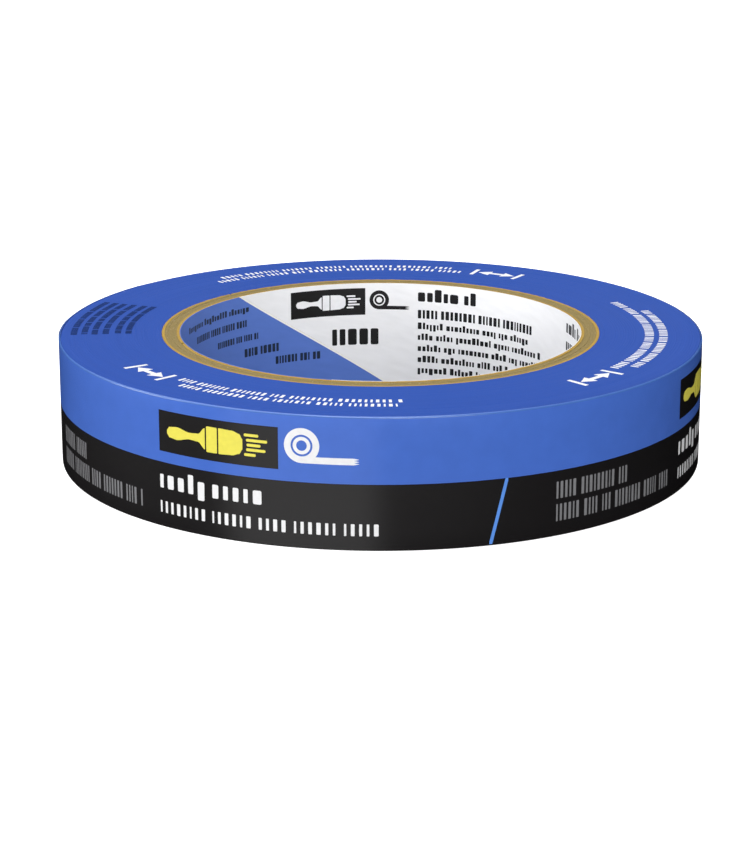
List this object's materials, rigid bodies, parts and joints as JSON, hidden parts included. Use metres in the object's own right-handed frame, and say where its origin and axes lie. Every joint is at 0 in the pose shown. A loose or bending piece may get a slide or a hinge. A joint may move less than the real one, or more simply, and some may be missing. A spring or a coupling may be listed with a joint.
{
  "type": "masking tape roll",
  "caption": "Roll of painter's masking tape on a spiral-wound paper core, with a printed wrap label whose tab and the tape's free end peel open.",
  "frame": {"origin": "centre of the bottom face, on the roll's axis", "axes": "+Z along the roll's axis, from the bottom face to the top face; -Y towards the front of the label; the label's tab and the tape's free end are on the -X side, slightly towards +Y"},
  "size_m": [0.1221, 0.122, 0.024],
  "materials": {
    "crepe_tape": "matte",
    "label_paper": "satin",
    "liner_paper": "satin",
    "kraft_ply": "matte",
    "board_ply": "matte"
  },
  "bodies": {
    "roll": {"core_liner": "liner_paper", "core_ply_1": "kraft_ply", "core_ply_2": "board_ply", "core_ply_3": "board_ply", "core_ply_4": "board_ply", "core_ply_5": "board_ply", "core_ply_6": "kraft_ply", "tape_roll": "crepe_tape", "tape_outer_turn": "crepe_tape", "wrap_label": "label_paper"},
    "label_tab_1": {"label_tab_1": "label_paper"},
    "label_tab_2": {"label_tab_2": "label_paper"},
    "label_tab_3": {"label_tab_3": "label_paper"},
    "label_tab_4": {"label_tab_4": "label_paper"},
    "label_tab_5": {"label_tab_5": "label_paper"},
    "tape_tail_root": {"tape_tail_root": "crepe_tape"},
    "tape_tail_middle": {"tape_tail_middle": "crepe_tape"},
    "tape_tail_tip": {"tape_tail_tip": "crepe_tape"}
  },
  "joints": [
    {"name": "label_tab_peel", "type": "hinge", "parent": "roll", "child": "label_tab_1", "pos_m": [-0.05072, 0.03389, 0.012], "axis": [0, 0, -1], "range_deg": [0, 40]},
    {"name": "label_tab_bend_2", "type": "hinge", "parent": "label_tab_1", "child": "label_tab_2", "pos_m": [-0.05471, 0.02698, 0.012], "axis": [0, 0, -1], "range_deg": [0, 24]},
    {"name": "label_tab_bend_3", "type": "hinge", "parent": "label_tab_2", "child": "label_tab_3", "pos_m": [-0.05776, 0.01961, 0.012], "axis": [0, 0, -1], "range_deg": [0, 20]},
    {"name": "label_tab_bend_4", "type": "hinge", "parent": "label_tab_3", "child": "label_tab_4", "pos_m": [-0.05997, 0.01193, 0.012], "axis": [0, 0, -1], "range_deg": [0, 16]},
    {"name": "label_tab_bend_5", "type": "hinge", "parent": "label_tab_4", "child": "label_tab_5", "pos_m": [-0.06101, 0.004, 0.012], "axis": [0, 0, -1], "range_deg": [0, 16]},
    {"name": "tape_tail_lift", "type": "hinge", "parent": "roll", "child": "tape_tail_root", "pos_m": [-0.05271, 0.03043, 0.012], "axis": [0, 0, -1], "range_deg": [0, 30]},
    {"name": "tape_tail_bend_middle", "type": "hinge", "parent": "tape_tail_root", "child": "tape_tail_middle", "pos_m": [-0.05623, 0.02329, 0.012], "axis": [0, 0, -1], "range_deg": [0, 26]},
    {"name": "tape_tail_bend_tip", "type": "hinge", "parent": "tape_tail_middle", "child": "tape_tail_tip", "pos_m": [-0.05879, 0.01575, 0.012], "axis": [0, 0, -1], "range_deg": [0, 24]}
  ],
  "couplings": [
    {"joint": "label_tab_bend_2", "follows": "label_tab_peel", "ratio": 0.6},
    {"joint": "label_tab_bend_3", "follows": "label_tab_peel", "ratio": 0.5},
    {"joint": "label_tab_bend_4", "follows": "label_tab_peel", "ratio": 0.4},
    {"joint": "label_tab_bend_5", "follows": "label_tab_peel", "ratio": 0.4},
    {"joint": "tape_tail_lift", "follows": "label_tab_peel", "ratio": 0.75},
    {"joint": "tape_tail_bend_middle", "follows": "label_tab_peel", "ratio": 0.65},
    {"joint": "tape_tail_bend_tip", "follows": "label_tab_peel", "ratio": 0.6}
  ]
}
